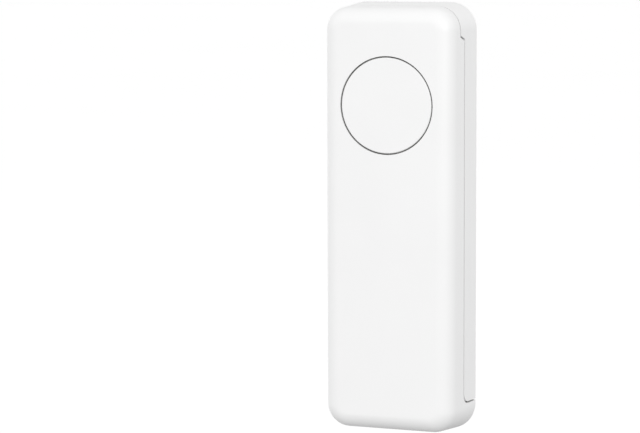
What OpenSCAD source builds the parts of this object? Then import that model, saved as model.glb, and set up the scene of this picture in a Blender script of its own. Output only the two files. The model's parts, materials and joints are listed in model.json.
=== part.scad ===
// Battery-powered wireless door contact sensor in a slim two-part case with a flush push button.
// The finished part stands upright: +Z up, the front faces -Y, the adhesive face lies on y = 0.
// Each piece is drawn lying on its back (x across, y along the case, z forward from the
// back plane of the case) and then stood up by stand_up().

/* [Case] */
// Height of the case
case_h = 94; // [93.6:0.1:96]
// Width of the case at its back plane
case_w = 31.6; // [31.4:0.1:33]
// Depth of the case from its back plane to its front face
case_d = 14.1; // [13.8:0.1:14.6]
// Radius of the four corners at the back plane
corner_r = 6; // [5.8:0.1:6.6]
// Radius of the rounded edge round the front face
front_fillet = 3.7; // [3.4:0.1:4]
// Radius of the edge round the back plane
back_edge_r = 0.5; // [0.3:0.1:0.6]
// How much each wall leans in per millimetre towards the front
wall_draft = 0.08; // [0.06:0.01:0.09]
// Thickness of the front wall
front_wall = 1.5; // [1.3:0.1:1.5]
// Thickness of the front shell's side walls
side_wall = 1.4; // [1.2:0.1:1.4]

/* [Parting line] */
// Depth of the side seam, forward from the back plane
seam_z = 6.5; // [6.3:0.1:6.7]
// Depth of the seam round the top end, forward from the back plane
cap_seam_z = 8.6; // [8.4:0.1:8.8]
// Distance from mid-height to the lower end of the rear cover
seam_reach = 40; // [39.5:0.1:40.5]
// Radius of the cover's lower front corners
seam_corner_r = 2.2; // [1.8:0.1:2.6]
// Gap along the seam's long runs
seam_gap = 0.3; // [0.1:0.01:0.32]
// Gap at the seam's ends, where the shells meet as they slide shut
end_gap = 0.35; // [0.2:0.05:0.4]

/* [Button] */
// Diameter of the button cap
button_d = 20.7; // [20:0.1:21]
// Gap round the button cap
button_gap = 0.3; // [0.2:0.05:0.35]
// Height of the button's centre above mid-height
button_y = 25; // [24.5:0.1:25.5]
// How far the button travels when pressed
button_travel = 0.4; // [0.2:0.05:0.4]

/* [Cells] */
// Diameter of an AAA cell over its jacket
cell_d = 10.4; // [10.2:0.1:10.4]
// Length of an AAA cell over its nub
cell_l = 44.5; // [44.1:0.1:44.5]
// Distance between the two cells' axes
cell_pitch = 11.2; // [11.1:0.1:11.3]

/* [Rear cover and pad] */
// Thickness of the rear cover's back plate
cover_plate = 1.2; // [1:0.1:1.2]
// Thickness of the rear cover's side flanges
cover_side = 1.3; // [1.2:0.05:1.3]
// Width of the adhesive pad
pad_w = 22; // [18:1:24]
// Length of the adhesive pad
pad_l = 70; // [50:1:76]
// Thickness of the adhesive pad
pad_t = 1; // [0.8:0.1:1.2]

/* [Hidden] */
$fn = 64;
// Overshoot of every cutting tool past the face that it opens
eps = 0.5;
// How far a post, rib or tab runs into the wall that it stands on
weld = 0.3;
// Clearance round a fixed piece that sits in a slot or a seat
fit_gap = 0.1;

// Case outline
lean = sqrt(1 + wall_draft * wall_draft);
corner_x = case_w / 2 - corner_r;
corner_y = case_h / 2 - corner_r;
front_in = case_d - front_wall;

// Step of the seam near the top corner
jog_low_y = 39.2;
jog_high_y = seam_reach;

// Locating lip of the front shell inside the rear cover, with its slide rails
slide_gap = 0.15;
lip_outer = cover_side + slide_gap;
lip_inner = 2.35;
lip_back = 4;
lip_front = 10;
lip_root = 1;
rail_z = 4.5;
rail_w = 0.8;
rail_out = 14.5;
rail_in = 13.5;
rail_reach = 36;

// Button cap
cap_r = button_d / 2;
flange_r = cap_r + 1;
flange_t = 0.8;
cap_skin = 1.2;
cap_cavity_r = 8.6;
cap_edge = 0.15;
boss_r = 2.3;
collar_gap = 0.25;
collar_t = 1;
collar_back = 10.7;
key_w = 2;
key_depth = 0.6;
key_angles = [90, 210, 330];
cap_rib_angles = [30, 150, 270];
cap_rib_t = 0.6;

// Circuit board and the post screws that hold it
board_w = 24.6;
board_y0 = 8.7;
board_y1 = 43.3;
board_back = 6.4;
board_t = 1;
board_front = board_back + board_t;
board_corner = 3.6;
screw_x = 10;
screw_ys = [11.2, 40.2];
screw_r = 0.72;
pilot_r = 0.75;
board_hole_r = 1;
post_r = 2;
head_r = 1.6;
head_t = 1;
head_seat = 3.6;
screw_tip = 11.2;
cross_l = 2;
cross_w = 0.4;
cross_depth = 0.5;
pilot_end = 11.6;

// Inner frame
frame_w = 24.4;
frame_y0 = -43.3;
frame_y1 = 43.3;
frame_room = 0.4;
frame_front = front_in - frame_room;
frame_wall = 1;
frame_corner = 4;
bay_back = 3;
bay_y1 = 6.1;
bay_y0 = frame_y0 + frame_wall;
plate_back = 2.4;
plate_t = 1;
frame_floor = 0.6;
window_w = 6.4;
saddle_t = 1.2;
saddle_back = 8;
saddle_h = frame_front - weld - saddle_back;
saddle_ys = [-36, -18, 0];
rib_t = 0.6;
rib_end = 1.5;
frame_boss_r = 2;
tab_x = 7;
tab_w = 4;
tab_z = 10.1;
tab_t = 1;
tab_reach = 0.8;
catch_y0 = -45;
catch_l = 1.6;
catch_t = 1.4;
mark_size = 2.6;
mark_w = 0.7;
mark_t = 0.25;
mark_y = 14;

// Cells and their contacts
cell_x = cell_pitch / 2;
cell_z = 6.75;
jacket_t = 0.15;
nub_r = 1.9;
nub_h = 1;
contact_w = 8;
bridge_w = 16.4;
contact_t = 0.4;
dimple_r = 2;
dimple_h = 0.3;
tab_strip_w = 2;
tab_strip_t = 0.3;
tab_strip_end = 10.4;
left_top = bay_y1 - contact_t - dimple_h;
right_bottom = bay_y0 + contact_t + dimple_h;
spring_wire = 0.5;
spring_base_r = 3.6;
spring_tip_r = 2.3;
spring_turns = 3;
spring_sides = 8;
spring_steps = 18;

// Tact switch under the button
switch_w = 6.2;
switch_h = 2.6;
switch_floor = 0.35;
switch_cavity_r = 2.4;
switch_plate_t = 0.3;
plunger_r = 1.7;
plunger_hole_r = 1.9;
plunger_head_r = 2.15;
plunger_head_t = 0.5;
plunger_head_gap = 0.05;
plunger_top = 11;
dome_r = 2.1;
dome_t = 0.12;
dome_rise = 0.36;
dome_clear = 0.04;
plunger_bottom = board_front + switch_floor + dome_rise + button_travel + dome_clear;
terminal_x = 3.8;
terminal_y = 2.25;
terminal_size = [1.3, 0.7, 0.25];

// Radio module on the back of the board
radio_w = 14;
radio_y0 = 24;
radio_y1 = 42.2;
radio_t = 0.8;
radio_back = board_back - radio_t;
shield_w = 12;
shield_y0 = 25;
shield_l = 12.4;
shield_h = 1.8;
shield_t = 0.2;
chip_w = 5;
chip_h = 0.9;
trace_t = 0.08;
trace_w = 0.5;
trace_y0 = 38.4;
trace_pitch = 1.4;
trace_l = 3;
trace_runs = 8;

// Reed switch beside the button
reed_x = 10.6;
reed_y = 25;
reed_z = board_front + 1.3;
reed_r = 1;
reed_l = 10;
reed_glass_t = 0.25;
lead_r = 0.28;
lead_reach = 7.4;
blade_w = 0.9;
blade_t = 0.2;
blade_overlap = 0.8;
blade_root = 0.4;
flat_start = 3.4;
blade_gap = 0.1;

// Small parts on the front of the board: [x, y]
led_at = [7.4, 17.4];
led_size = [1.6, 0.9, 0.4];
lens_size = [1.1, 0.8, 0.5];
capacitor_at = [[-7.6, 17.6], [-7.6, 20.2], [-7.6, 29.8], [-7.6, 32.4], [0, 33.2], [3, 33.2]];
resistor_at = [[-3.2, 14.2], [0, 14.2], [3.2, 14.2], [6.4, 31.6]];
chip_size = [1.6, 0.9, 0.6];
chip_end = 0.3;
bulk_at = [-2.6, 37.6];
bulk_size = [4.6, 2.8, 1.9];
crystal_at = [4.6, 37.6];
crystal_size = [3.2, 2.5, 0.8];
// Regulator on the back of the board
regulator_at = [0, 16];
regulator_size = [3, 1.7, 1.1];

// Pad recess in the rear cover
pad_recess = 0.4;
pad_proud = pad_t - pad_recess;
pad_corner = 5;

// Stiffening ribs inside the rear cover's upper part
cover_rib_ys = [18, 26, 34];
cover_rib_l = 22;
cover_rib_w = 1;
cover_rib_h = 0.7;

// ---------------------------------------------------------------- shared shapes

// Stands a piece up and puts the adhesive face on y = 0.
module stand_up() {
    translate([0, -pad_proud, 0])
        rotate([90, 0, 0])
            children();
}

// Turns an outline drawn in (y, z) into a bar of the given length along x.
module along_x(length) {
    rotate([90, 0, 90])
        linear_extrude(length, center = true)
            children();
}

// Section through the case wall at a corner: x out from the corner's axis, y forward.
// It lies inset inside the outer surface, and its two edges have the radii back_r and front_r.
module wall_section(inset, back, front, back_r, front_r) {
    r = corner_r - inset;
    back_x = r - wall_draft * (back + back_r) - back_r * lean;
    front_x = r - wall_draft * (front - front_r) - front_r * lean;
    intersection() {
        translate([0, back])
            square([r, front - back]);
        union() {
            polygon([
                [0, back],
                [back_x, back],
                [back_x + back_r / lean, back + back_r + back_r * wall_draft / lean],
                [front_x + front_r / lean, front - front_r + front_r * wall_draft / lean],
                [front_x, front],
                [0, front]]);
            if (front_r > 0)
                translate([front_x, front - front_r])
                    circle(front_r);
            if (back_r > 0)
                translate([back_x, back + back_r])
                    circle(back_r);
        }
    }
}

// Solid with the case's outer form, set in by inset, from depth back to depth front.
module case_block(inset, back, front, back_r = 0, front_r = 0) {
    for (mx = [0, 1], my = [0, 1])
        mirror([mx, 0, 0])
            mirror([0, my, 0])
                translate([corner_x, corner_y, 0])
                    rotate_extrude(angle = 90)
                        wall_section(inset, back, front, back_r, front_r);
    for (mx = [0, 1])
        mirror([mx, 0, 0])
            translate([corner_x, 0, 0])
                rotate([90, 0, 0])
                    linear_extrude(2 * corner_y, center = true)
                        wall_section(inset, back, front, back_r, front_r);
    for (my = [0, 1])
        mirror([0, my, 0])
            translate([0, corner_y, 0])
                along_x(2 * corner_x)
                    wall_section(inset, back, front, back_r, front_r);
    translate([-corner_x, -corner_y, back])
        cube([2 * corner_x, 2 * corner_y, front - back]);
}

// The case's outer form and the hollow inside its side and front walls.
module outer_form() {
    case_block(0, 0, case_d, back_edge_r, front_fillet);
}

module hollow(wall, back) {
    case_block(wall, back, front_in, 0, front_fillet - wall);
}

// Space that belongs to the rear cover, grown by gap along the seam and by ends at its ends.
module cover_space(gap, ends) {
    low = -seam_reach - ends;
    along_x(2 * case_w)
        union() {
            polygon([
                [low, -eps],
                [low, seam_z + gap - seam_corner_r],
                [low + seam_corner_r, seam_z + gap],
                [jog_low_y - ends, seam_z + gap],
                [jog_high_y - ends, cap_seam_z + gap],
                [case_h, cap_seam_z + gap],
                [case_h, -eps]]);
            translate([low + seam_corner_r, seam_z + gap - seam_corner_r])
                circle(seam_corner_r);
        }
}

// Block with rounded upright edges, centred on x and y, standing on z = 0.
module rounded_block(width, length, height, r) {
    linear_extrude(height)
        union() {
            square([width - 2 * r, length], center = true);
            square([width, length - 2 * r], center = true);
            for (sx = [-1, 1], sy = [-1, 1])
                translate([sx * (width / 2 - r), sy * (length / 2 - r)])
                    circle(r);
        }
}

// Box centred on x and y at a point, standing on depth z.
module chip_box(at, z, size) {
    translate([at[0] - size[0] / 2, at[1] - size[1] / 2, z])
        cube(size);
}

// Cylinder whose axis runs along y from y0, at the given x and z.
module rod_y(x, z, y0, length, r) {
    translate([x, y0, z])
        rotate([-90, 0, 0])
            cylinder(h = length, r = r);
}

// Repeats a piece on the left as the mirror image of the one on the right.
module both_sides() {
    for (mx = [0, 1])
        mirror([mx, 0, 0])
            children();
}

// Repeats a piece at the four board and frame screws.
module at_screws() {
    for (sx = [-1, 1], y = screw_ys)
        translate([sx * screw_x, y, 0])
            children();
}

// ---------------------------------------------------------------- case and button

// Raised lip that centres the rear cover, with a slide rail on each side.
module locating_lip() {
    difference() {
        union() {
            case_block(lip_outer, lip_back, lip_front);
            difference() {
                case_block(lip_root, seam_z, lip_front);
                cover_space(seam_gap, end_gap);
            }
            both_sides()
                translate([rail_in, -rail_reach, rail_z])
                    cube([rail_out - rail_in, 2 * rail_reach, rail_w]);
        }
        case_block(lip_inner, lip_back - eps, lip_front + eps);
    }
}

// What stands up inside the front shell: the button's collar, the screw posts and, at the
// lower end, two catches for the inner frame's tabs.
module shell_fittings() {
    translate([0, button_y, collar_back])
        cylinder(h = front_in - collar_back + weld, r = flange_r + collar_gap + collar_t);
    at_screws()
        translate([0, 0, board_front])
            cylinder(h = front_in - board_front + weld, r = post_r);
    both_sides()
        translate([tab_x - tab_w / 2, catch_y0, tab_z - fit_gap - catch_t])
            cube([tab_w, catch_l, catch_t]);
}

// Bore of the button's collar, with the keys that stop the cap from turning.
module collar_bore() {
    bore_r = flange_r + collar_gap;
    translate([0, button_y, collar_back - eps])
        difference() {
            cylinder(h = front_in - collar_back + eps, r = bore_r);
            for (a = key_angles)
                rotate([0, 0, a])
                    translate([bore_r - key_depth, -key_w / 2 + collar_gap, 0])
                        cube([key_depth + eps, key_w - 2 * collar_gap, case_d]);
        }
}

module front_shell() {
    color("white")
        stand_up()
            difference() {
                union() {
                    difference() {
                        outer_form();
                        hollow(side_wall, cover_plate);
                        cover_space(seam_gap, end_gap);
                    }
                    locating_lip();
                    shell_fittings();
                }
                collar_bore();
                translate([0, button_y, front_in - eps])
                    cylinder(h = front_wall + 2 * eps, r = cap_r + button_gap);
                at_screws()
                    translate([0, 0, board_front - eps])
                        cylinder(h = pilot_end - board_front + eps, r = pilot_r);
            }
}

// Grooves inside the rear cover's flanges; they are open at the lower end.
module rail_grooves() {
    both_sides()
        translate([rail_in, -seam_reach - eps, rail_z - slide_gap])
            cube([rail_out + slide_gap - rail_in, seam_reach + rail_reach + eps + slide_gap,
                rail_w + 2 * slide_gap]);
}

module rear_cover() {
    color("white")
        stand_up() {
            difference() {
                intersection() {
                    outer_form();
                    cover_space(0, 0);
                }
                hollow(cover_side, cover_plate);
                translate([0, 0, -eps])
                    rounded_block(pad_w, pad_l, pad_recess + eps, pad_corner);
                rail_grooves();
            }
            for (y = cover_rib_ys)
                translate([-cover_rib_l / 2, y, cover_plate - fit_gap])
                    cube([cover_rib_l, cover_rib_w, cover_rib_h + fit_gap]);
        }
}

module adhesive_pad() {
    color("lightgray")
        stand_up()
            translate([0, 0, -pad_proud])
                rounded_block(pad_w, pad_l, pad_t, pad_corner);
}

module button_cap() {
    color("white")
        stand_up()
            translate([0, button_y, 0])
                difference() {
                    union() {
                        translate([0, 0, front_in])
                            cylinder(h = front_wall - cap_edge, r = cap_r);
                        translate([0, 0, case_d - cap_edge])
                            cylinder(h = cap_edge, r1 = cap_r, r2 = cap_r - cap_edge);
                        translate([0, 0, front_in - flange_t])
                            cylinder(h = flange_t, r = flange_r);
                        translate([0, 0, plunger_top])
                            cylinder(h = front_in - plunger_top, r = boss_r);
                    }
                    difference() {
                        translate([0, 0, front_in - flange_t - eps])
                            cylinder(h = case_d - cap_skin - front_in + flange_t + eps, r = cap_cavity_r);
                        cylinder(h = case_d, r = boss_r);
                        for (a = cap_rib_angles)
                            rotate([0, 0, a])
                                translate([0, -cap_rib_t / 2, 0])
                                    cube([flange_r, cap_rib_t, case_d]);
                    }
                    for (a = key_angles)
                        rotate([0, 0, a])
                            translate([flange_r - key_depth, -key_w / 2, 0])
                                cube([key_depth + eps, key_w, front_in]);
                }
}

// ---------------------------------------------------------------- inner frame and board

// Plus or minus mark, raised on the back of the frame's plate.
module polarity_mark(x, plus) {
    translate([x, mark_y, plate_back - mark_t]) {
        translate([-mark_size / 2, -mark_w / 2, 0])
            cube([mark_size, mark_w, mark_t]);
        if (plus)
            translate([-mark_w / 2, -mark_size / 2, 0])
                cube([mark_w, mark_size, mark_t]);
    }
}

// Slice of the frame's rounded outline, set in by inset, from y0 to y1 and z0 to z1.
module frame_slice(inset, y0, y1, z0, z1) {
    intersection() {
        translate([0, (frame_y0 + frame_y1) / 2, z0])
            rounded_block(frame_w - 2 * inset, frame_y1 - frame_y0 - 2 * inset, z1 - z0,
                frame_corner - inset);
        translate([-frame_w / 2, y0, z0])
            cube([frame_w, y1 - y0, z1 - z0]);
    }
}

// Open-backed bay that holds the two cells.
module cell_bay() {
    bay_l = bay_y1 - bay_y0;
    floor_back = frame_front - frame_floor;
    difference() {
        frame_slice(0, frame_y0, bay_y1 + frame_wall, bay_back, frame_front);
        frame_slice(frame_wall, bay_y0, bay_y1, bay_back - eps, floor_back);
        for (sx = [-1, 1]) {
            translate([sx * cell_x - window_w / 2, bay_y0, bay_back])
                cube([window_w, bay_l, frame_front]);
            translate([sx * cell_x - tab_strip_w / 2 - fit_gap, bay_y1 - eps, board_front - fit_gap])
                cube([tab_strip_w + 2 * fit_gap, frame_wall + 2 * eps, tab_strip_t + 2 * fit_gap]);
        }
    }
    difference() {
        union() {
            for (y = saddle_ys)
                translate([-frame_w / 2 + weld, y - saddle_t / 2, saddle_back])
                    cube([frame_w - 2 * weld, saddle_t, saddle_h]);
            translate([-rib_t / 2, bay_y0 + rib_end, saddle_back])
                cube([rib_t, bay_l - 2 * rib_end, saddle_h]);
        }
        for (sx = [-1, 1])
            rod_y(sx * cell_x, cell_z, bay_y0, bay_l, cell_d / 2 + fit_gap);
    }
}

// Plate that closes off the electronics, with its screw bosses and side skirts.
module electronics_plate() {
    skirt_end = board_back - fit_gap;
    difference() {
        union() {
            difference() {
                frame_slice(0, bay_y1, frame_y1, plate_back, skirt_end);
                frame_slice(frame_wall, bay_y1 + frame_wall, frame_y1, plate_back + plate_t, skirt_end + eps);
            }
            at_screws()
                translate([0, 0, plate_back])
                    cylinder(h = board_back - plate_back, r = frame_boss_r);
        }
        at_screws() {
            translate([0, 0, plate_back - eps])
                cylinder(h = board_back - plate_back + 2 * eps, r = board_hole_r);
            translate([0, 0, plate_back - eps])
                cylinder(h = head_seat - plate_back + eps, r = head_r + fit_gap);
        }
    }
}

module inner_frame() {
    color("whitesmoke")
        stand_up() {
            cell_bay();
            electronics_plate();
            both_sides()
                translate([tab_x - tab_w / 2, frame_y0 - tab_reach, tab_z])
                    cube([tab_w, tab_reach + weld, tab_t]);
            polarity_mark(-cell_x, true);
            polarity_mark(cell_x, false);
        }
}

// One pan-head screw with a cross recess; its head faces the rear cover.
module frame_screw() {
    difference() {
        union() {
            translate([0, 0, head_seat - head_t])
                cylinder(h = head_t, r = head_r);
            translate([0, 0, head_seat])
                cylinder(h = screw_tip - head_seat, r = screw_r);
        }
        for (a = [0, 90])
            rotate([0, 0, a])
                translate([-cross_l / 2, -cross_w / 2, head_seat - head_t - eps])
                    cube([cross_l, cross_w, cross_depth + eps]);
    }
}

module frame_screws() {
    color("silver")
        stand_up()
            at_screws()
                frame_screw();
}

module circuit_board() {
    board_l = board_y1 - board_y0;
    color("darkgreen")
        stand_up()
            difference() {
                translate([0, (board_y0 + board_y1) / 2, board_back])
                    rounded_block(board_w, board_l, board_t, board_corner);
                at_screws()
                    translate([0, 0, board_back - eps])
                        cylinder(h = board_t + 2 * eps, r = board_hole_r);
            }
}

// ---------------------------------------------------------------- tact switch

module switch_body() {
    color("black")
        stand_up()
            translate([0, button_y, 0])
                difference() {
                    chip_box([0, 0], board_front, [switch_w, switch_w, switch_h]);
                    translate([0, 0, board_front + switch_floor])
                        cylinder(h = switch_h, r = switch_cavity_r);
                }
}

module switch_plate() {
    color("silver")
        stand_up()
            translate([0, button_y, 0])
                difference() {
                    chip_box([0, 0], board_front + switch_h, [switch_w, switch_w, switch_plate_t]);
                    cylinder(h = case_d, r = plunger_hole_r);
                }
}

module switch_plunger() {
    head_front = board_front + switch_h - plunger_head_gap;
    color("dimgray")
        stand_up()
            translate([0, button_y, 0]) {
                translate([0, 0, plunger_bottom])
                    cylinder(h = plunger_top - plunger_bottom, r = plunger_r);
                translate([0, 0, head_front - plunger_head_t])
                    cylinder(h = plunger_head_t, r = plunger_head_r);
            }
}

// Thin domed disc that clicks; its crown just reaches the plunger at full travel.
module switch_dome() {
    ball_r = (dome_r * dome_r + dome_rise * dome_rise) / (2 * dome_rise);
    color("silver")
        stand_up()
            translate([0, button_y, board_front + switch_floor + dome_rise - ball_r])
                rotate_extrude()
                    intersection() {
                        translate([0, ball_r - dome_rise])
                            square([dome_r, dome_rise]);
                        difference() {
                            circle(ball_r, $fn = 256);
                            circle(ball_r - dome_t, $fn = 256);
                        }
                    }
}

module switch_terminals() {
    color("silver")
        stand_up()
            for (sx = [-1, 1], sy = [-1, 1])
                chip_box([sx * terminal_x, button_y + sy * terminal_y], board_front, terminal_size);
}

// ---------------------------------------------------------------- radio module

module radio_board() {
    color("darkgreen")
        stand_up()
            translate([-radio_w / 2, radio_y0, radio_back])
                cube([radio_w, radio_y1 - radio_y0, radio_t]);
}

module radio_shield() {
    color("silver")
        stand_up()
            difference() {
                translate([-shield_w / 2, shield_y0, radio_back - shield_h])
                    cube([shield_w, shield_l, shield_h]);
                translate([-shield_w / 2 + shield_t, shield_y0 + shield_t, radio_back - shield_h + shield_t])
                    cube([shield_w - 2 * shield_t, shield_l - 2 * shield_t, shield_h]);
            }
}

module radio_chip() {
    color("black")
        stand_up()
            chip_box([0, shield_y0 + shield_l / 2], radio_back - chip_h, [chip_w, chip_w, chip_h]);
}

// Meandering copper track past the end of the shield.
module antenna_trace() {
    color("goldenrod")
        stand_up()
            translate([-trace_pitch * (trace_runs - 1) / 2, trace_y0, radio_back - trace_t])
                for (i = [0:trace_runs - 1])
                    translate([i * trace_pitch - trace_w / 2, 0, 0]) {
                        cube([trace_w, trace_l, trace_t]);
                        if (i < trace_runs - 1)
                            translate([0, i % 2 == 0 ? trace_l - trace_w : 0, 0])
                                cube([trace_pitch + trace_w, trace_w, trace_t]);
                    }
}

// ---------------------------------------------------------------- reed switch

// Rod with round ends along y, centred on y = 0.
module capsule(length, r) {
    rod_y(0, 0, -length / 2 + r, length - 2 * r, r);
    for (sy = [-1, 1])
        translate([0, sy * (length / 2 - r), 0])
            sphere(r, $fn = 128);
}

module reed_glass() {
    color("lightcyan")
        stand_up()
            translate([reed_x, reed_y, reed_z])
                difference() {
                    capsule(reed_l, reed_r);
                    capsule(reed_l - 4 * reed_glass_t, reed_r - reed_glass_t);
                    rod_y(0, 0, -reed_l, 2 * reed_l, lead_r);
                }
}

// Upper half of the contact pair: a bent lead that flattens to a blade inside the glass.
module reed_blade(side) {
    blade_z = (blade_gap + blade_t) / 2;
    rod_y(0, 0, flat_start, lead_reach - flat_start, lead_r);
    translate([0, lead_reach - lead_r, board_front - reed_z])
        cylinder(h = reed_z - board_front + lead_r, r = lead_r);
    translate([-blade_w / 2, -blade_overlap, side * blade_z - blade_t / 2])
        cube([blade_w, flat_start + blade_overlap + blade_root, blade_t]);
}

module reed_blade_upper() {
    color("silver")
        stand_up()
            translate([reed_x, reed_y, reed_z])
                reed_blade(1);
}

module reed_blade_lower() {
    color("silver")
        stand_up()
            translate([reed_x, reed_y, reed_z])
                mirror([0, 1, 0])
                    reed_blade(-1);
}

// ---------------------------------------------------------------- small parts on the board

module status_led() {
    color("white")
        stand_up()
            chip_box(led_at, board_front, led_size);
}

module led_lens() {
    color("lightyellow")
        stand_up()
            chip_box(led_at, board_front + led_size[2], lens_size);
}

// Middle part of a two-ended chip.
module chip_bodies(places) {
    for (at = places)
        chip_box(at, board_front, [chip_size[0] - 2 * chip_end, chip_size[1], chip_size[2]]);
}

module capacitors() {
    color("tan")
        stand_up()
            chip_bodies(capacitor_at);
}

module resistors() {
    color("black")
        stand_up()
            chip_bodies(resistor_at);
}

module chip_ends() {
    offset_x = (chip_size[0] - chip_end) / 2;
    color("silver")
        stand_up()
            for (at = concat(capacitor_at, resistor_at), sx = [-1, 1])
                chip_box([at[0] + sx * offset_x, at[1]], board_front, [chip_end, chip_size[1], chip_size[2]]);
}

module bulk_capacitor() {
    color("goldenrod")
        stand_up()
            chip_box(bulk_at, board_front, bulk_size);
}

module crystal() {
    color("silver")
        stand_up()
            chip_box(crystal_at, board_front, crystal_size);
}

module regulator() {
    color("black")
        stand_up()
            chip_box(regulator_at, board_back - regulator_size[2], regulator_size);
}

// ---------------------------------------------------------------- cells and contacts

// Lays a cell's piece in its place; the piece is drawn with its nub at +y, its base at y = 0.
module in_left_cell() {
    translate([-cell_x, left_top - cell_l, cell_z])
        children();
}

module in_right_cell() {
    translate([cell_x, right_bottom + cell_l, cell_z])
        mirror([0, 1, 0])
            children();
}

module cell_can() {
    rod_y(0, 0, 0, cell_l - nub_h, cell_d / 2 - jacket_t);
    rod_y(0, 0, 0, cell_l, nub_r);
}

module cell_jacket() {
    difference() {
        rod_y(0, 0, 0, cell_l - nub_h, cell_d / 2);
        rod_y(0, 0, -eps, cell_l + 2 * eps, cell_d / 2 - jacket_t);
    }
}

module battery_left_can() {
    color("silver")
        stand_up()
            in_left_cell()
                cell_can();
}

module battery_left_jacket() {
    color("slategray")
        stand_up()
            in_left_cell()
                cell_jacket();
}

module battery_right_can() {
    color("silver")
        stand_up()
            in_right_cell()
                cell_can();
}

module battery_right_jacket() {
    color("slategray")
        stand_up()
            in_right_cell()
                cell_jacket();
}

// Square contact plate at the top end of a cell, with its strip to the board.
module top_contact(x) {
    translate([x - contact_w / 2, bay_y1 - contact_t, cell_z - contact_w / 2])
        cube([contact_w, contact_t, contact_w]);
    translate([x - tab_strip_w / 2, bay_y1 - contact_t, board_front])
        cube([tab_strip_w, tab_strip_end - bay_y1 + contact_t, tab_strip_t]);
}

module positive_contact() {
    color("gold")
        stand_up() {
            top_contact(-cell_x);
            rod_y(-cell_x, cell_z, left_top, dimple_h + fit_gap, dimple_r);
        }
}

module negative_contact() {
    color("silver")
        stand_up()
            top_contact(cell_x);
}

module bridge_contact() {
    color("silver")
        stand_up() {
            translate([-bridge_w / 2, bay_y0, cell_z - contact_w / 2])
                cube([bridge_w, contact_t, contact_w]);
            rod_y(cell_x, cell_z, bay_y0 + contact_t - fit_gap, dimple_h + fit_gap, dimple_r);
        }
}

// Centre of the coil at step i: it starts on the wide end and narrows towards the cell.
function coil_point(i, length) =
    let (t = i / (spring_turns * spring_steps), r = spring_base_r + (spring_tip_r - spring_base_r) * t,
        a = 360 * i / spring_steps)
    [r * cos(a), length * t, r * sin(a)];

// Ring of points round the coil's wire at step i.
function coil_ring(i, length) =
    let (a = 360 * i / spring_steps, c = coil_point(i, length))
    [for (k = [0:spring_sides - 1])
        let (b = 360 * k / spring_sides)
        c + spring_wire / 2 * [cos(a) * cos(b), sin(b), sin(a) * cos(b)]];

// Conical spring along y, from its wide end at y = 0.
module cell_spring(length) {
    steps = spring_turns * spring_steps;
    run = length - spring_wire;
    points = [for (i = [0:steps]) each coil_ring(i, run)];
    sides = [for (i = [0:steps - 1], k = [0:spring_sides - 1])
        let (a = i * spring_sides + k, b = i * spring_sides + (k + 1) % spring_sides)
        [a, b, b + spring_sides, a + spring_sides]];
    start_cap = [for (k = [0:spring_sides - 1]) spring_sides - 1 - k];
    end_cap = [for (k = [0:spring_sides - 1]) steps * spring_sides + k];
    translate([0, spring_wire / 2, 0])
        polyhedron(points, concat(sides, [start_cap], [end_cap]));
}

module negative_spring() {
    length = bay_y1 - contact_t - right_bottom - cell_l;
    color("silver")
        stand_up()
            translate([cell_x, bay_y1 - contact_t, cell_z])
                mirror([0, 1, 0])
                    cell_spring(length);
}

module bridge_spring() {
    length = left_top - cell_l - bay_y0 - contact_t;
    color("silver")
        stand_up()
            translate([-cell_x, bay_y0 + contact_t, cell_z])
                cell_spring(length);
}

front_shell();
rear_cover();
adhesive_pad();
button_cap();
inner_frame();
frame_screws();
circuit_board();
switch_body();
switch_plate();
switch_plunger();
switch_dome();
switch_terminals();
radio_board();
radio_shield();
radio_chip();
antenna_trace();
reed_glass();
reed_blade_upper();
reed_blade_lower();
status_led();
led_lens();
capacitors();
resistors();
chip_ends();
bulk_capacitor();
crystal();
regulator();
battery_left_can();
battery_left_jacket();
battery_right_can();
battery_right_jacket();
positive_contact();
negative_contact();
negative_spring();
bridge_contact();
bridge_spring();
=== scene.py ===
"""Looks of the slim white door contact sensor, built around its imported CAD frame.

All lengths are in metres, in the frame of the CAD model: the sensor stands upright, its front
faces -Y and its adhesive face lies on y = 0.
"""
import json
import math

import bmesh
import bpy
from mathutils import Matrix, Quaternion, Vector


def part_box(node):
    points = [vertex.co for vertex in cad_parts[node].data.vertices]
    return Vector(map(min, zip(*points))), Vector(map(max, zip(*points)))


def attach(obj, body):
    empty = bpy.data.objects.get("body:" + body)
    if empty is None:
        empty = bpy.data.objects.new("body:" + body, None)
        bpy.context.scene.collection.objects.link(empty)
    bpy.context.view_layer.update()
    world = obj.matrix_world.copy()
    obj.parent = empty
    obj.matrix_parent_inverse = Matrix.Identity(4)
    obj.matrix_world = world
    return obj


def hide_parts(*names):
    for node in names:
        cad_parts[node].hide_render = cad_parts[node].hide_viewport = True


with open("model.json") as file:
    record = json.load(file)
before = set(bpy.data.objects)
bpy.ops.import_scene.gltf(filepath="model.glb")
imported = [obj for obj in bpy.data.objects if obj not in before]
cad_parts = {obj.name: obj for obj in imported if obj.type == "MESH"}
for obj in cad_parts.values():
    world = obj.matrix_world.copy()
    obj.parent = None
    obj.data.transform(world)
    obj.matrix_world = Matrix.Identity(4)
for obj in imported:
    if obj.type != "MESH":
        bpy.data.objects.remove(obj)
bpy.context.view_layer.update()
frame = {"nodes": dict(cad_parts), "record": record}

MM = 0.001
NODES = frame["nodes"]
SLOTS = {part["node"]: part["material_slot"] for part in frame["record"]["subparts"]}

# ------------------------------------------------------------------ shader helpers


def add(tree, kind, inputs=None, **settings):
    """Adds a shader node, sets its properties, and sets or links its inputs."""
    made = tree.nodes.new("ShaderNode" + kind)
    for key, value in settings.items():
        setattr(made, key, value)
    for key, value in (inputs or {}).items():
        if isinstance(value, bpy.types.NodeSocket):
            tree.links.new(value, made.inputs[key])
        else:
            made.inputs[key].default_value = value
    return made


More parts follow.
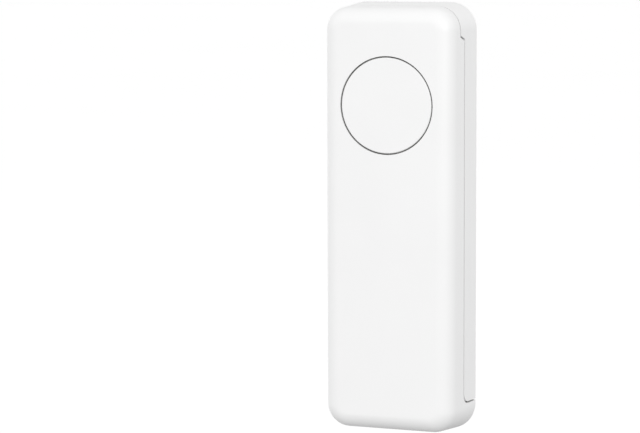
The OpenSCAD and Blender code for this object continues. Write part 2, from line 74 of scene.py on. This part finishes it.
def new_material(name, **settings):
    """A node material, its tree and its Principled shader, with plain values set on the shader."""
    material = bpy.data.materials.new(name)
    material.use_nodes = True
    shader = material.node_tree.nodes["Principled BSDF"]
    for key, value in settings.items():
        shader.inputs[key.replace("_", " ").title().replace("Ior", "IOR")].default_value = value
    return material, material.node_tree, shader


def place(tree):
    """The point on the piece, in metres, which moves along with it."""
    return add(tree, "TexCoord").outputs["Object"]


def axes(tree, vector):
    return add(tree, "SeparateXYZ", {0: vector}).outputs


def stretched(tree, stretch):
    """The point on the piece, squeezed so that a texture on it comes out longer along an axis."""
    return add(tree, "Mapping", {"Vector": place(tree), "Scale": [1 / s for s in stretch]}).outputs[0]


def noise(tree, size, detail=3.0, stretch=(1, 1, 1)):
    """Noise from 0 to 1 with blobs of the given size."""
    inputs = {"Vector": stretched(tree, stretch), "Scale": 1 / size, "Detail": detail}
    return add(tree, "TexNoise", inputs).outputs["Fac"]


def cells(tree, size, feature="F1", distance="EUCLIDEAN"):
    """Distance from the middle, or the edge, of scattered cells of the given size."""
    inputs = {"Vector": place(tree), "Scale": 1 / size}
    return add(tree, "TexVoronoi", inputs, feature=feature, distance=distance).outputs["Distance"]


def between(tree, value, low, high, start=0.3, end=0.7):
    """A value from start to end turned into one from low to high."""
    return add(tree, "MapRange", {"Value": value, "From Min": start, "From Max": end,
                                  "To Min": low, "To Max": high}).outputs[0]


def maths(tree, operation, first, second=0.0):
    return add(tree, "Math", {0: first, 1: second}, operation=operation).outputs[0]


def mix(tree, share, first, second):
    """A colour share of the way from the first to the second."""
    made = add(tree, "Mix", data_type="RGBA")
    for index, value in ((0, share), (6, first), (7, second)):
        if isinstance(value, bpy.types.NodeSocket):
            tree.links.new(value, made.inputs[index])
        else:
            made.inputs[index].default_value = (*value, 1) if isinstance(value, tuple) else value
    return made.outputs[2]


def link(tree, value, shader, name):
    tree.links.new(value, shader.inputs[name])


def set_bump(tree, shader, height, depth, under=None):
    """Raises the surface by height times depth, on top of an earlier bump."""
    inputs = {"Height": height, "Distance": depth}
    if under is not None:
        inputs["Normal"] = under
    normal = add(tree, "Bump", inputs).outputs[0]
    link(tree, normal, shader, "Normal")
    return normal


def crevice(tree, reach):
    """1 on an open face, falling towards 0 deep in a gap."""
    return add(tree, "AmbientOcclusion", {"Distance": reach}, samples=8).outputs["AO"]


# ------------------------------------------------------------------ materials

WHITE = (0.93, 0.93, 0.93)
# Grey painted into crevices and gaps as shade
CREVICE_SHADE_COLOUR = (0.52, 0.52, 0.51)
# How near to another surface the painted crevice shade reaches, and the openness at which it is darkest
# and gone
SHADE_REACH = 0.5 * MM
SHADE_RANGE = (0.2, 0.85)
# Size of each texture, and the height of its relief
GRAIN, GRAIN_DEPTH = 0.16 * MM, 0.004 * MM
STREAK, STREAK_DEPTH = 0.25 * MM, 0.002 * MM
PORE, PORE_DEPTH = 0.32 * MM, 0.09 * MM
BUBBLE, BUBBLE_DEPTH = 0.9 * MM, 0.02 * MM
TRACK, TRACK_DEPTH = 3.2 * MM, 0.03 * MM
WEAVE, WEAVE_DEPTH = 0.5 * MM, 0.004 * MM
RIPPLE, RIPPLE_DEPTH = 1.2 * MM, 0.01 * MM
HAZE, HAZE_DEPTH = 0.2 * MM, 0.004 * MM
SPECK, SPECK_DEPTH = 0.09 * MM, 0.006 * MM
WRINKLE, WRINKLE_DEPTH = 3 * MM, 0.05 * MM
# Size of the textures that only change colour and roughness
FLOW_CLOUD = 14 * MM
TARNISH_CLOUD = 2.5 * MM
GLUE_CLOUD = 6 * MM
FLECK = 0.12 * MM
# How far a texture moves the roughness to either side
FLOW_SHEEN = 0.03
GRAIN_SHEEN = 0.04
STREAK_SHEEN = 0.08
# How squarely a face of the foam must look along Y to carry glue
GLUE_FACING = 0.9
# Where the board's tracks begin and end, inward from a cell's edge, and where its pours end
TRACK_NEAR = (0.015, 0.035)
TRACK_FAR = (0.09, 0.11)
POUR_EDGE = (0.2, 0.22)
# Print on a cell's jacket: the band at its positive end, and the marks on its back
BAND_LENGTH = 13 * MM
MARK_PLACE = 5 * MM
MARK_REACH = 1.3 * MM
MARK_STROKE = 0.25 * MM


def moulded_plastic(name, colour, roughness, grain=GRAIN, depth=GRAIN_DEPTH, painted_shade=None):
    """Moulded plastic with a fine spark-eroded grain, faint flow clouds and shade painted darker into
    its crevices.
    """
    material, tree, shader = new_material(name)
    fine = noise(tree, grain)
    clouds = noise(tree, FLOW_CLOUD, 2)
    surface = mix(tree, between(tree, clouds, 0, 1), tuple(0.985 * c for c in colour), colour)
    if painted_shade:
        # Painted shade: the colour darkens towards grey deep in crevices and gaps
        open_face = between(tree, crevice(tree, SHADE_REACH), 0, 1, *SHADE_RANGE)
        surface = mix(tree, open_face, painted_shade, surface)
    link(tree, surface, shader, "Base Color")
    cloudy = between(tree, clouds, -FLOW_SHEEN, FLOW_SHEEN)
    grained = between(tree, fine, roughness - GRAIN_SHEEN, roughness + GRAIN_SHEEN)
    link(tree, maths(tree, "ADD", cloudy, grained), shader, "Roughness")
    set_bump(tree, shader, fine, depth)
    return material


def plated_metal(name, colour, roughness, drawn=(1, 1, 1), tarnish=0.86):
    """Plated sheet or wire: streaks along the way it was drawn, and a cloudy tarnish."""
    material, tree, shader = new_material(name, metallic=1.0)
    streaks = noise(tree, STREAK, 4, drawn)
    clouds = noise(tree, TARNISH_CLOUD)
    dull = tuple(tarnish * c for c in colour)
    link(tree, mix(tree, between(tree, clouds, 0, 1), dull, colour), shader, "Base Color")
    cloudy = between(tree, clouds, 0.06, -0.04)
    streaked = between(tree, streaks, roughness - STREAK_SHEEN, roughness + STREAK_SHEEN)
    link(tree, maths(tree, "ADD", cloudy, streaked), shader, "Roughness")
    set_bump(tree, shader, streaks, STREAK_DEPTH)
    return material


def foam_tape(name):
    """Closed-cell foam with a faintly glossy layer of glue on its two broad faces."""
    material, tree, shader = new_material(name)
    facing = axes(tree, add(tree, "TexCoord").outputs["Normal"])["Y"]
    glued = maths(tree, "GREATER_THAN", maths(tree, "ABSOLUTE", facing), GLUE_FACING)
    pores = cells(tree, PORE)
    blotches = noise(tree, GLUE_CLOUD)
    # Painted shade: the pores' pits, the low points of their bump, are coloured darker
    foam = mix(tree, between(tree, pores, 0, 1, 0.1, 0.8), (0.5, 0.5, 0.49), (0.82, 0.82, 0.81))
    glue = mix(tree, between(tree, blotches, 0, 1), (0.735, 0.735, 0.725), (0.775, 0.775, 0.765))
    link(tree, mix(tree, glued, foam, glue), shader, "Base Color")
    link(tree, between(tree, glued, 0.85, 0.32, 0, 1), shader, "Roughness")
    bubbles = noise(tree, BUBBLE)
    height = maths(tree, "MULTIPLY", pores, between(tree, glued, 1, 0.15, 0, 1))
    under = set_bump(tree, shader, height, PORE_DEPTH)
    set_bump(tree, shader, bubbles, BUBBLE_DEPTH, under)
    return material


def solder_mask(name):
    """Green resist over copper tracks and pours, which show through as paler, raised areas."""
    material, tree, shader = new_material(name, coat_weight=0.3, coat_roughness=0.15)
    near = cells(tree, TRACK, "F1", "CHEBYCHEV")
    next_near = cells(tree, TRACK, "F2", "CHEBYCHEV")
    apart = maths(tree, "SUBTRACT", next_near, near)
    track = maths(tree, "MULTIPLY", between(tree, apart, 1, 0, *TRACK_FAR),
                  between(tree, apart, 0, 1, *TRACK_NEAR))
    pour = between(tree, near, 1, 0, *POUR_EDGE)
    weave = noise(tree, WEAVE, 2, (4, 1, 1))
    green = mix(tree, between(tree, weave, 0, 1), (0.010, 0.085, 0.030), (0.014, 0.105, 0.040))
    copper = maths(tree, "MAXIMUM", track, pour)
    link(tree, mix(tree, copper, green, (0.025, 0.16, 0.06)), shader, "Base Color")
    link(tree, between(tree, weave, 0.3, 0.42), shader, "Roughness")
    under = set_bump(tree, shader, copper, TRACK_DEPTH)
    set_bump(tree, shader, weave, WEAVE_DEPTH, under)
    return material


def clear_glass(name):
    """Drawn glass tube, faintly green, with slow ripples."""
    material, tree, shader = new_material(name, ior=1.5, transmission_weight=1.0)
    ripple = noise(tree, RIPPLE, 2, (1, 1, 4))
    link(tree, mix(tree, ripple, (0.78, 0.92, 0.86), (0.88, 0.96, 0.92)), shader, "Base Color")
    link(tree, between(tree, ripple, 0.01, 0.05), shader, "Roughness")
    set_bump(tree, shader, ripple, RIPPLE_DEPTH)
    return material


def cast_epoxy(name):
    """Pale yellow epoxy lens."""
    material, tree, shader = new_material(name, ior=1.53, transmission_weight=0.6)
    haze = noise(tree, HAZE)
    link(tree, mix(tree, haze, (0.86, 0.8, 0.45), (0.93, 0.88, 0.6)), shader, "Base Color")
    link(tree, between(tree, haze, 0.12, 0.25), shader, "Roughness")
    set_bump(tree, shader, haze, HAZE_DEPTH)
    return material


def fired_ceramic(name, dark, light):
    """Speckled chip ceramic."""
    material, tree, shader = new_material(name)
    specks = cells(tree, SPECK)
    link(tree, mix(tree, between(tree, specks, 0, 1, 0.2, 0.8), dark, light), shader, "Base Color")
    link(tree, between(tree, specks, 0.45, 0.65, 0.2, 0.8), shader, "Roughness")
    set_bump(tree, shader, specks, SPECK_DEPTH)
    return material


def within(tree, value, middle, reach):
    """1 where a value lies within reach of the middle, and 0 elsewhere."""
    apart = maths(tree, "ABSOLUTE", maths(tree, "SUBTRACT", value, middle))
    return maths(tree, "LESS_THAN", apart, reach)


def printed_film(name, cell, upward):
    """Shrunk film jacket of a cell: slate print, a coppery band at its positive end, and a plus
    and a minus mark on its back, with a fine fleck and slight wrinkles."""
    low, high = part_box(cell)
    plus_end, minus_end = (high.z, low.z) if upward else (low.z, high.z)
    inward = -1 if upward else 1
    material, tree, shader = new_material(name, coat_weight=0.4, coat_roughness=0.12)
    at = axes(tree, place(tree))
    across = maths(tree, "SUBTRACT", at["X"], (low.x + high.x) / 2)
    behind = maths(tree, "GREATER_THAN", at["Y"], (low.y + high.y) / 2)
    plus_z = plus_end + inward * MARK_PLACE
    strokes = [
        (within(tree, across, 0, MARK_REACH), within(tree, at["Z"], plus_z, MARK_STROKE)),
        (within(tree, across, 0, MARK_STROKE), within(tree, at["Z"], plus_z, MARK_REACH)),
        (within(tree, across, 0, MARK_REACH),
         within(tree, at["Z"], minus_end - inward * MARK_PLACE, MARK_STROKE))]
    marks = 0.0
    for first, second in strokes:
        marks = maths(tree, "MAXIMUM", maths(tree, "MULTIPLY", first, second), marks)
    marks = maths(tree, "MULTIPLY", marks, behind)
    band = within(tree, at["Z"], plus_end, BAND_LENGTH)
    fleck = between(tree, noise(tree, FLECK, 2), 0, 1)
    wrinkle = noise(tree, WRINKLE, 2, (1, 1, 5))
    slate = mix(tree, fleck, (0.045, 0.06, 0.085), (0.065, 0.085, 0.115))
    copper = mix(tree, fleck, (0.62, 0.33, 0.16), (0.70, 0.39, 0.20))
    printed = mix(tree, marks, mix(tree, band, slate, copper), (0.85, 0.85, 0.83))
    link(tree, printed, shader, "Base Color")
    link(tree, maths(tree, "MULTIPLY", band, 0.8), shader, "Metallic")
    link(tree, between(tree, wrinkle, 0.28, 0.4), shader, "Roughness")
    set_bump(tree, shader, wrinkle, WRINKLE_DEPTH)
    return material


MATERIALS = {
    "case": moulded_plastic("case_plastic", WHITE, 0.42, painted_shade=CREVICE_SHADE_COLOUR),
    "button": moulded_plastic("button_plastic", WHITE, 0.40, painted_shade=CREVICE_SHADE_COLOUR),
    "frame": moulded_plastic("frame_plastic", (0.8, 0.8, 0.78), 0.5, grain=0.3 * MM, depth=0.008 * MM),
    "black_plastic": moulded_plastic("black_plastic", (0.03, 0.03, 0.032), 0.5, grain=0.08 * MM),
    "pad": foam_tape("foam_tape"),
    "board": solder_mask("solder_mask"),
    "steel": plated_metal("nickel_plate", (0.68, 0.67, 0.65), 0.3, drawn=(1, 1, 6)),
    "cell_can": plated_metal("cell_can_plate", (0.72, 0.71, 0.69), 0.26, drawn=(6, 6, 1)),
    "tin": plated_metal("tin_plate", (0.74, 0.74, 0.73), 0.42),
    "spring": plated_metal("spring_wire", (0.78, 0.77, 0.76), 0.22),
    "copper": plated_metal("gold_flash", (0.86, 0.63, 0.3), 0.25),
    "glass": clear_glass("reed_glass_tube"),
    "lens": cast_epoxy("lens_epoxy"),
    "ceramic": fired_ceramic("chip_ceramic", (0.34, 0.22, 0.12), (0.55, 0.4, 0.25)),
    "tantalum": fired_ceramic("tantalum_case", (0.62, 0.4, 0.07), (0.78, 0.55, 0.13)),
}

# ------------------------------------------------------------------ shared mesh work

# Corners this close are one corner
WELD = 0.001 * MM
# Faces that meet below the first angle are one face, and past the second are folded together;
# an edge past the third is sharp
FLAT_ANGLE = math.radians(0.3)
FOLD_ANGLE = math.radians(175)
SHARP_ANGLE = math.radians(35)


def welded_copy(node):
    """A working mesh of a CAD node, with its split corners joined and its flat faces whole."""
    bm = bmesh.new()
    bm.from_mesh(NODES[node].data)
    bmesh.ops.remove_doubles(bm, verts=bm.verts, dist=WELD)
    folded = [e for e in bm.edges if e.is_manifold and e.calc_face_angle() > FOLD_ANGLE]
    bmesh.ops.dissolve_edges(bm, edges=folded)
    bmesh.ops.dissolve_limit(bm, angle_limit=FLAT_ANGLE, verts=bm.verts, edges=bm.edges)
    return bm


def every(edge):
    """Chooses any edge."""
    return True


def round_edges(bm, radius, segments=3, chosen=every):
    """Rounds the sharp edges that chosen says yes to."""
    edges = [e for e in bm.edges if e.is_manifold and e.calc_face_angle() > SHARP_ANGLE and chosen(e)]
    bmesh.ops.bevel(bm, geom=edges, offset=radius, offset_type="OFFSET", segments=segments,
                    profile=0.5, affect="EDGES", clamp_overlap=False)


def new_piece(bm, name, body, slot, replaced=(), material=None):
    """Makes a working mesh into a piece on a body, smooth but for its sharp edges."""
    bmesh.ops.recalc_face_normals(bm, faces=bm.faces)
    mesh = bpy.data.meshes.new(name)
    bm.to_mesh(mesh)
    bm.free()
    mesh.shade_smooth()
    mesh.set_sharp_from_angle(angle=SHARP_ANGLE)
    mesh.materials.append(material or MATERIALS[slot])
    piece = bpy.data.objects.new(name, mesh)
    bpy.context.scene.collection.objects.link(piece)
    weighted = piece.modifiers.new("weighted_normals", "WEIGHTED_NORMAL")
    weighted.keep_sharp = True
    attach(piece, body)
    if replaced:
        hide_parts(*replaced)
    return piece


def lathe(bm, profile, centre, along, steps=64, closed=False):
    """Turns a profile of (radius, height) points round an axis, joining its ends when closed."""
    start = Vector((1, 0, 0))
    side = along.cross(start)
    rings = []
    for radius, height in profile:
        middle = centre + along * height
        if radius == 0:
            rings.append([bm.verts.new(middle)])
            continue
        turns = [2 * math.pi * i / steps for i in range(steps)]
        rings.append([bm.verts.new(middle + radius * (math.cos(a) * start + math.sin(a) * side))
                      for a in turns])
    for low, high in zip(rings, rings[1:] + (rings[:1] if closed else [])):
        for i in range(steps):
            j = (i + 1) % steps
            corners = [low[i % len(low)], low[j % len(low)], high[j % len(high)], high[i % len(high)]]
            bm.faces.new(list(dict.fromkeys(corners)))


def arc(centre, radius, start, end, points=6):
    """Points of a round stretch of a profile, by angles in degrees."""
    angles = [math.radians(start + (end - start) * i / (points - 1)) for i in range(points)]
    return [(centre[0] + radius * math.cos(a), centre[1] + radius * math.sin(a)) for a in angles]


# ------------------------------------------------------------------ case and button

# Radius of the shells' edges and of the cap's rim, and how far behind the crown the rim ends
CASE_EDGE = 0.04 * MM
CAP_EDGE = 0.09 * MM
CAP_RIM = 0.5 * MM


def make_case():
    """The two shells, with every sharp edge rounded a little."""
    for node, body in (("front_shell", "housing"), ("rear_cover", "back")):
        bm = welded_copy(node)
        round_edges(bm, CASE_EDGE)
        new_piece(bm, node + "_moulding", body, "case", [node])


def make_button():
    """The cap, with a rounded rim round its flat crown."""
    rim_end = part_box("button_cap")[0].y + CAP_RIM

    def on_rim(edge):
        return all(v.co.y < rim_end for v in edge.verts)

    bm = welded_copy("button_cap")
    round_edges(bm, CAP_EDGE, chosen=on_rim)
    new_piece(bm, "button_cap_moulding", "button", "button", ["button_cap"])


# ------------------------------------------------------------------ adhesive pad

# Radius of the pad's corners, how far its cut edge draws in towards the two faces, and the
# number of outlines that edge is made of
PAD_CORNER = 5 * MM
PAD_PINCH = 0.12 * MM
PAD_LAYERS = 9


def rounded_outline(half_w, half_l, corner, steps=16):
    """Points (x, z) of a rectangle with round corners, centred on the origin."""
    points = []
    for sx, sz, start in ((1, 1, 0), (-1, 1, 90), (-1, -1, 180), (1, -1, 270)):
        middle = (sx * (half_w - corner), sz * (half_l - corner))
        points += arc(middle, corner, start, start + 90, steps)
    return points


def make_pad():
    """Die-cut foam tape whose cut edge bulges slightly between its two faces."""
    low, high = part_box("adhesive_pad")
    bm = bmesh.new()
    loops = []
    for i in range(PAD_LAYERS):
        share = i / (PAD_LAYERS - 1)
        inset = PAD_PINCH * (2 * share - 1) ** 2
        outline = rounded_outline(high.x - inset, high.z - inset, PAD_CORNER - inset)
        loops.append([bm.verts.new((x, low.y + share * (high.y - low.y), z)) for x, z in outline])
    for first, second in zip(loops, loops[1:]):
        for i in range(len(first)):
            j = (i + 1) % len(first)
            bm.faces.new((first[i], first[j], second[j], second[i]))
    bm.faces.new(loops[0])
    bm.faces.new(loops[-1])
    new_piece(bm, "foam_tape_pad", "back", "pad", ["adhesive_pad"])


# ------------------------------------------------------------------ cells

# Radius of the jacket's shoulders, its thickness, and how far the can lies inside its outside
SHOULDER = 0.6 * MM
FILM = 0.15 * MM
CAN_INSET = 1.1 * FILM
# Where the base is dished and the top is crimped, in radii of the can's shoulder from its wall
BASE_DISH = (4, 3.5)
TOP_CRIMP = (3, 3.6)
# The nub's radius and the radius of its edges
NUB_RADIUS = 1.9 * MM
NUB_EDGE = 0.3 * MM
# Steps round a cell
CELL_STEPS = 72


def can_profile(radius, length, nub_radius, nub_height):
    """Profile of a cell's can, from the middle of its base to the middle of its nub."""
    top = length - nub_height - FILM
    bend = SHOULDER - FILM
    base = [(0, 0), (radius - BASE_DISH[0] * bend, 0), (radius - BASE_DISH[1] * bend, FILM)]
    wall = arc((radius - bend, FILM + bend), bend, -90, 0)
    wall += arc((radius - bend, top - bend), bend, 0, 90)
    crimp = [(radius - TOP_CRIMP[0] * bend, top), (radius - TOP_CRIMP[1] * bend, top - FILM),
             (nub_radius + 2 * NUB_EDGE, top - FILM), (nub_radius + NUB_EDGE, top)]
    nub = [(nub_radius, top + NUB_EDGE)]
    nub += arc((nub_radius - NUB_EDGE, length - NUB_EDGE), NUB_EDGE, 0, 90) + [(0, length)]
    return base + wall + crimp + nub


def film_profile(radius, length):
    """Closed profile of a cell's jacket, rolled over the can's two shoulders."""
    bend = SHOULDER - FILM
    middle = radius - SHOULDER
    outside = arc((middle, SHOULDER), SHOULDER, -90, 0)
    outside += arc((middle, length - SHOULDER), SHOULDER, 0, 90)
    inside = arc((middle, length - SHOULDER), bend, 90, 0)
    inside += arc((middle, SHOULDER), bend, 0, -90)
    return outside + inside


def make_cell(side, upward):
    """One AAA cell: a plated can with a crimped end and a nub, in its film jacket."""
    can, jacket = f"battery_{side}_can", f"battery_{side}_jacket"
    low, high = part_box(can)
    film_low, film_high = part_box(jacket)
    along = Vector((0, 0, 1 if upward else -1))
    base = Vector(((low.x + high.x) / 2, (low.y + high.y) / 2, low.z if upward else high.z))
    length = high.z - low.z
    jacket_length = film_high.z - film_low.z
    radius = (film_high.x - film_low.x) / 2
    bm = bmesh.new()
    profile = can_profile(radius - CAN_INSET, length, NUB_RADIUS, length - jacket_length)
    lathe(bm, profile, base, along, CELL_STEPS)
    new_piece(bm, f"battery_{side}_plated_can", "housing", "cell_can", [can])
    bm = bmesh.new()
    lathe(bm, film_profile(radius, jacket_length), base, along, CELL_STEPS, closed=True)
    film = printed_film(f"cell_film_{side}", can, upward)
    new_piece(bm, f"battery_{side}_film", "housing", "jacket", [jacket], film)


# ------------------------------------------------------------------ springs and screws

# The springs' wire, their turns, the radius of their narrow end, and the steps in a turn
WIRE = 0.5 * MM
SPRING_TURNS = 4
SPRING_TIP = 2.3 * MM
SPRING_STEPS = 40
# Share of the wire, at each end, that lies flat in a closed turn
CLOSED_SHARE = 0.2
# Radius of the screw heads' edge, and the longest step along it, which tells it from the recess
HEAD_ROUND = 0.45 * MM
RIM_STEP = 0.3 * MM


def make_spring(node, upward):
    """Conical wire spring with a closed turn at each end, wide on its plate and narrow on its cell."""
    low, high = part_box(node)
    middle = (low + high) / 2
    wide = (high.x - low.x - WIRE) / 2
    run = high.z - low.z - WIRE
    start = low.z + WIRE / 2 if upward else high.z - WIRE / 2
    steps = SPRING_TURNS * SPRING_STEPS
    curve = bpy.data.curves.new(node + "_wire", "CURVE")
    curve.dimensions = "3D"
    curve.bevel_depth = WIRE / 2
    curve.bevel_resolution = 5
    curve.use_fill_caps = True
    curve.materials.append(MATERIALS["spring"])
    spline = curve.splines.new("POLY")
    spline.points.add(steps)
    for i in range(steps + 1):
        share = i / steps
        climb = min(max((share - CLOSED_SHARE) / (1 - 2 * CLOSED_SHARE), 0), 1)
        climb = climb * climb * (3 - 2 * climb)
        radius = wide + (SPRING_TIP - wide) * share
        turn = 2 * math.pi * i / SPRING_STEPS
        height = start + (run if upward else -run) * climb
        spline.points[i].co = (middle.x + radius * math.cos(turn), middle.y + radius * math.sin(turn),
                               height, 1)
    spring = bpy.data.objects.new(node + "_wire", curve)
    bpy.context.scene.collection.objects.link(spring)
    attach(spring, "housing")
    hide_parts(node)


def make_screws():
    """The frame's screws, with pan heads rounded over round their cross recess."""
    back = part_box("frame_screws")[1].y

    def on_head_rim(edge):
        at_back = all(abs(v.co.y - back) < WELD for v in edge.verts)
        return at_back and edge.calc_length() < RIM_STEP

    bm = welded_copy("frame_screws")
    round_edges(bm, HEAD_ROUND, 5, on_head_rim)
    new_piece(bm, "frame_screws_pan_head", "housing", "steel", ["frame_screws"])


# ------------------------------------------------------------------ reed switch

# The tube's wall, the radius of its shoulders, the length of its seals and the leads' radius
GLASS_WALL = 0.25 * MM
GLASS_BEND = 0.7 * MM
GLASS_SEAL = 0.5 * MM
LEAD_RADIUS = 0.28 * MM
# Points along the outside of a shoulder
SHOULDER_POINTS = 9


def make_glass():
    """Glass tube drawn in and sealed round a lead at each end."""
    low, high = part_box("reed_glass")
    radius = (high.x - low.x) / 2
    length = high.z - low.z
    outer = radius - GLASS_BEND
    inner_bend = GLASS_BEND - GLASS_WALL
    profile = [(LEAD_RADIUS, 0)]
    profile += arc((outer, GLASS_BEND), GLASS_BEND, -90, 0, SHOULDER_POINTS)
    profile += arc((outer, length - GLASS_BEND), GLASS_BEND, 0, 90, SHOULDER_POINTS)
    profile += [(LEAD_RADIUS, length), (LEAD_RADIUS, length - GLASS_SEAL)]
    profile += arc((outer, length - GLASS_SEAL - inner_bend), inner_bend, 90, 0)
    profile += arc((outer, GLASS_SEAL + inner_bend), inner_bend, 0, -90)
    profile += [(LEAD_RADIUS, GLASS_SEAL)]
    bm = bmesh.new()
    base = Vector(((low.x + high.x) / 2, (low.y + high.y) / 2, low.z))
    lathe(bm, profile, base, Vector((0, 0, 1)), closed=True)
    new_piece(bm, "reed_glass_tube", "housing", "glass", ["reed_glass"])


# ------------------------------------------------------------------ parts with rounded edges

# Radius of the inner parts' edges, by what kind of part it is
ROUNDED_NODES = {
    "moulding": (0.1 * MM, ["inner_frame", "switch_body", "switch_plunger", "radio_chip", "regulator"]),
    "case": (0.12 * MM, ["bulk_capacitor", "crystal", "radio_shield"]),
    "stamping": (0.06 * MM, ["switch_plate", "switch_terminals", "positive_contact",
                             "negative_contact", "bridge_contact"]),
    "disc": (0.02 * MM, ["switch_dome"]),
    "body": (0.05 * MM, ["circuit_board", "radio_board", "capacitors", "resistors", "chip_ends",
                         "status_led", "led_lens"])}


def body_of(node):
    """Name of the body that a node rides on."""
    bodies = frame["record"]["behaviour"]["bodies"]
    return next(body for body, nodes in bodies.items() if node in nodes)


def make_rounded_parts():
    """Inner parts with all their sharp edges rounded a little, as moulded and stamped parts are."""
    for kind, (radius, nodes) in ROUNDED_NODES.items():
        for node in nodes:
            bm = welded_copy(node)
            round_edges(bm, radius, 2)
            new_piece(bm, f"{node}_{kind}", body_of(node), SLOTS[node], [node])


make_case()
make_button()
make_pad()
make_cell("left", True)
make_cell("right", False)
make_spring("negative_spring", False)
make_spring("bridge_spring", True)
make_screws()
make_glass()
make_rounded_parts()
# The CAD nodes that no new piece replaces get their material here
for name, thing in NODES.items():
    if not thing.hide_render:
        for held in thing.material_slots:
            held.material = MATERIALS[SLOTS[name]]

# ------------------------------------------------------------------ camera

# The view: from the right of the front and a little above, at arm's length
VIEW_AZIMUTH = math.radians(21.1)
VIEW_ELEVATION = math.radians(6.3)
VIEW_DISTANCE = 581 * MM
# Lens and sensor in millimetres, and the nearest and farthest that is seen in metres
LENS = 149.5
SENSOR_WIDTH = 36
NEAREST = 0.05
FARTHEST = 50
# How far the camera is aimed to the left of the object and above it
AIM_LEFT = math.radians(1.678)
AIM_UP = math.radians(0.03)


def toward(azimuth, elevation):
    """Direction seen from the object: azimuth 0 is straight in front of it, 90 to its right."""
    return Vector((math.sin(azimuth) * math.cos(elevation),
                   -math.cos(azimuth) * math.cos(elevation),
                   math.sin(elevation)))


def case_centre():
    """Middle of the case, without the adhesive pad."""
    low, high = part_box("front_shell")
    return Vector((0, (low.y + high.y) / 2, 0))


def make_camera():
    data = bpy.data.cameras.new("camera")
    data.lens = LENS
    data.sensor_width = SENSOR_WIDTH
    data.clip_start = NEAREST
    data.clip_end = FARTHEST
    camera = bpy.data.objects.new("camera", data)
    bpy.context.scene.collection.objects.link(camera)
    back = toward(VIEW_AZIMUTH, VIEW_ELEVATION)
    camera.location = case_centre() + back * VIEW_DISTANCE
    look = (-back).to_track_quat("-Z", "Y")
    camera.rotation_mode = "QUATERNION"
    aim = Quaternion((0, 1, 0), AIM_LEFT) @ Quaternion((1, 0, 0), AIM_UP)
    camera.rotation_quaternion = look @ aim
    bpy.context.scene.camera = camera


# ------------------------------------------------------------------ studio

# The floor's height, its side, its own glow and the size of its faint clouds
FLOOR_Z = -160 * MM
FLOOR_SIZE = 24
FLOOR_GLOW = 0.25
FLOOR_CLOUD = 0.4
# Strength of the light from underneath and from level, and what it is multiplied by overhead,
# on the right and on the left
WORLD_UNDER = 0.37
WORLD_LEVEL = 1.03
WORLD_OVERHEAD = 0.65
WORLD_RIGHT = 0.635
WORLD_LEFT = 1.2
# Between which heights, or distances to the right, of a direction each change takes place
UNDER_SPAN = (-0.75, -0.05)
OVERHEAD_SPAN = (0.1, 0.9)
RIGHT_SPAN = (0.1, 0.9)
LEFT_SPAN = (-0.9, -0.1)


def make_world():
    """Soft light from all round, weaker overhead, on the right and underneath, stronger on the left."""
    world = bpy.data.worlds.new("studio")
    bpy.context.scene.world = world
    world.use_nodes = True
    tree = world.node_tree
    direction = axes(tree, add(tree, "TexCoord").outputs["Generated"])
    lower = between(tree, direction["Z"], WORLD_UNDER, WORLD_LEVEL, *UNDER_SPAN)
    upper = between(tree, direction["Z"], 1.0, WORLD_OVERHEAD, *OVERHEAD_SPAN)
    right = between(tree, direction["X"], 1.0, WORLD_RIGHT, *RIGHT_SPAN)
    left = between(tree, direction["X"], WORLD_LEFT, 1.0, *LEFT_SPAN)
    background = tree.nodes["Background"]
    background.inputs["Color"].default_value = (1, 1, 1, 1)
    upright = maths(tree, "MULTIPLY", lower, upper)
    sideways = maths(tree, "MULTIPLY", left, right)
    link(tree, maths(tree, "MULTIPLY", upright, sideways), background, "Strength")


def make_floor():
    """A pale floor, clear from below, that neither lights nor shades the object."""
    material, tree, shader = new_material("floor_paint", roughness=0.9, emission_strength=FLOOR_GLOW)
    shader.inputs["Emission Color"].default_value = (1, 1, 1, 1)
    paint = noise(tree, FLOOR_CLOUD)
    link(tree, mix(tree, paint, (0.97, 0.97, 0.97), (1.0, 1.0, 1.0)), shader, "Base Color")
    behind = add(tree, "NewGeometry").outputs["Backfacing"]
    clear = add(tree, "BsdfTransparent").outputs[0]
    shown = add(tree, "MixShader", {0: behind, 1: shader.outputs[0], 2: clear}).outputs[0]
    tree.links.new(shown, tree.nodes["Material Output"].inputs["Surface"])
    bm = bmesh.new()
    bmesh.ops.create_grid(bm, x_segments=1, y_segments=1, size=FLOOR_SIZE / 2)
    mesh = bpy.data.meshes.new("floor")
    bm.to_mesh(mesh)
    bm.free()
    mesh.materials.append(material)
    floor = bpy.data.objects.new("floor", mesh)
    floor.location.z = FLOOR_Z
    bpy.context.scene.collection.objects.link(floor)
    floor.visible_diffuse = False
    floor.visible_glossy = False
    floor.visible_shadow = False


def make_lamp(name, azimuth, elevation, distance, size, power):
    """A round soft box aimed at the case."""
    data = bpy.data.lights.new(name, "AREA")
    data.shape = "DISK"
    data.size = size
    data.energy = power
    lamp = bpy.data.objects.new(name, data)
    direction = toward(math.radians(azimuth), math.radians(elevation))
    lamp.location = case_centre() + direction * distance
    lamp.rotation_mode = "QUATERNION"
    lamp.rotation_quaternion = (-direction).to_track_quat("-Z", "Y")
    bpy.context.scene.collection.objects.link(lamp)


make_camera()
make_world()
make_floor()
make_lamp("key_lamp", azimuth=48, elevation=20, distance=0.9, size=0.5, power=3.1)
bpy.context.scene.view_settings.view_transform = "Standard"
